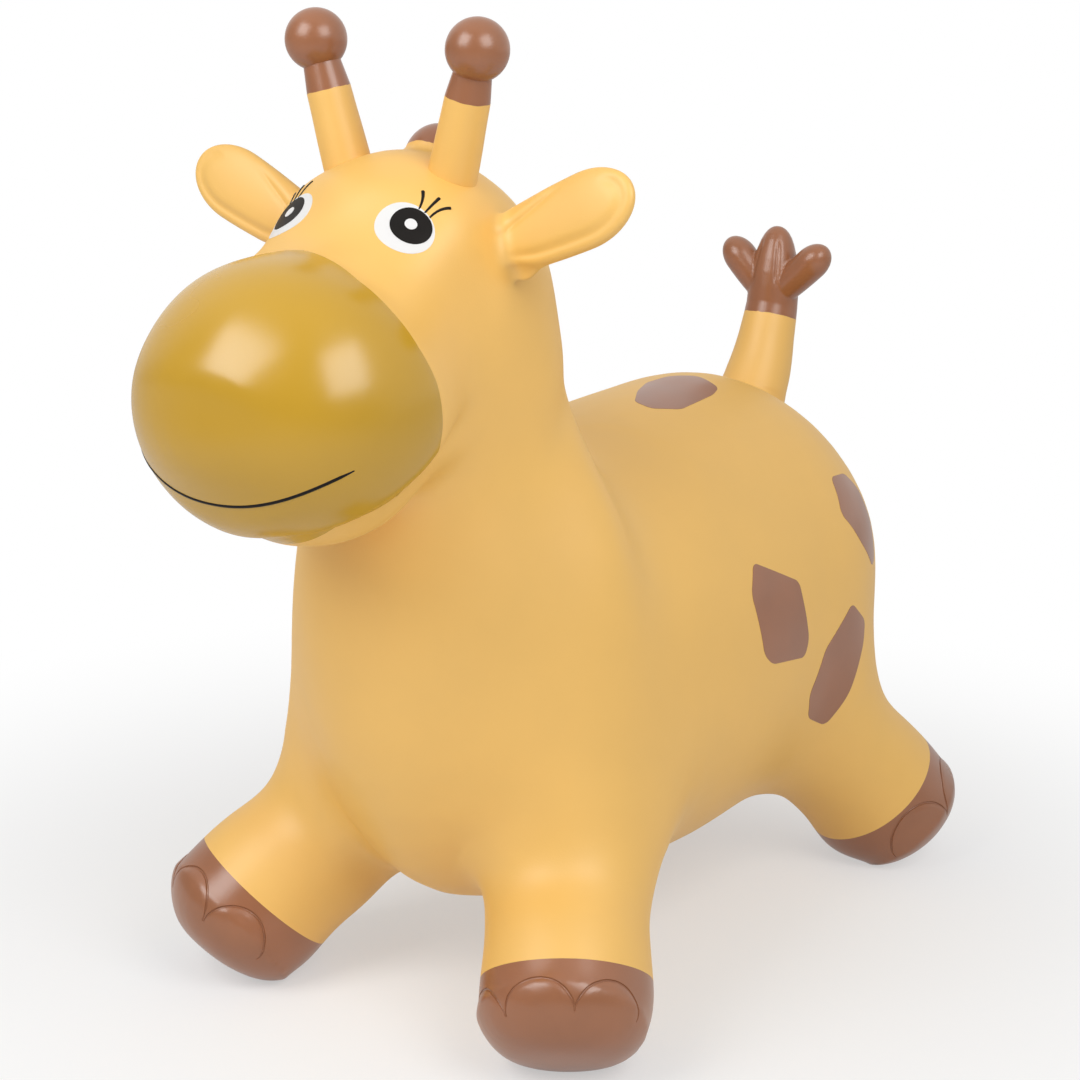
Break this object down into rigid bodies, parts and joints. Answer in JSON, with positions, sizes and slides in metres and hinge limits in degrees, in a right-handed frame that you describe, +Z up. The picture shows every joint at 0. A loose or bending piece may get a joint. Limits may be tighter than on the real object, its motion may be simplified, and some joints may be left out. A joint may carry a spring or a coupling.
{
  "type": "bouncy ride-on animal",
  "caption": "Air-filled ride-on giraffe hopper with a rounded trunk, splayed legs, domed muzzle, bending ears, horns and tail, and a push-in belly valve.",
  "frame": {"origin": "on the floor under the middle of the body, between the four hooves", "axes": "+Z up, the animal faces -Y, +X is its left side"},
  "size_m": [0.3458, 0.6416, 0.5994],
  "materials": {
    "skin_yellow": "soft matte moulded PVC",
    "muzzle_mustard": "glossy sprayed paint on PVC",
    "painted_brown": "semi-gloss sprayed paint on PVC",
    "valve_white": "plain white soft PVC",
    "eye_white": "glossy printed white",
    "eye_black": "glossy printed black brown"
  },
  "bodies": {
    "skin": {"trunk": "skin_yellow", "neck": "skin_yellow", "head": "skin_yellow", "muzzle": "muzzle_mustard", "front_left_leg": "skin_yellow", "front_left_hoof": "painted_brown", "front_right_leg": "skin_yellow", "front_right_hoof": "painted_brown", "rear_left_leg": "skin_yellow", "rear_left_hoof": "painted_brown", "rear_right_leg": "skin_yellow", "rear_right_hoof": "painted_brown", "left_ear_root": "skin_yellow", "right_ear_root": "skin_yellow", "left_horn_root": "skin_yellow", "right_horn_root": "skin_yellow", "tail_root": "skin_yellow", "mane": "painted_brown", "valve_seat": "valve_white"},
    "left_ear": {"left_ear": "skin_yellow"},
    "left_horn": {"left_horn": "skin_yellow", "left_horn_tip": "painted_brown"},
    "right_ear": {"right_ear": "skin_yellow"},
    "right_horn": {"right_horn": "skin_yellow", "right_horn_tip": "painted_brown"},
    "tail": {"tail": "skin_yellow", "tail_tuft": "painted_brown"},
    "valve_plug": {"valve_plug": "valve_white"}
  },
  "joints": [
    {"name": "left_ear_bend", "type": "hinge", "parent": "skin", "child": "left_ear", "pos_m": [0.07322, -0.14096, 0.47316], "axis": [-0.3947, 0.2419, 0.8864], "range_deg": [-25, 25], "stiffness_Nm_per_rad": 0.6, "deforming": ["left_ear_root"]},
    {"name": "right_ear_bend", "type": "hinge", "parent": "skin", "child": "right_ear", "pos_m": [-0.07322, -0.14096, 0.47316], "axis": [-0.3947, -0.2419, -0.8864], "range_deg": [-25, 25], "stiffness_Nm_per_rad": 0.6, "deforming": ["right_ear_root"]},
    {"name": "left_horn_bend", "type": "hinge", "parent": "skin", "child": "left_horn", "pos_m": [0.03983, -0.14427, 0.52277], "axis": [-1, 0, 0], "range_deg": [-18, 18], "stiffness_Nm_per_rad": 2, "deforming": ["left_horn_root"]},
    {"name": "right_horn_bend", "type": "hinge", "parent": "skin", "child": "right_horn", "pos_m": [-0.03983, -0.14427, 0.52277], "axis": [-1, 0, 0], "range_deg": [-18, 18], "stiffness_Nm_per_rad": 2, "deforming": ["right_horn_root"]},
    {"name": "tail_bend", "type": "hinge", "parent": "skin", "child": "tail", "pos_m": [0, 0.27161, 0.32841], "axis": [-1, 0, 0], "range_deg": [-20, 20], "stiffness_Nm_per_rad": 1.5, "deforming": ["tail_root"]},
    {"name": "plug_pull", "type": "slide", "parent": "skin", "child": "valve_plug", "axis": [0, 0, -1], "range_m": [0, 0.014]}
  ]
}
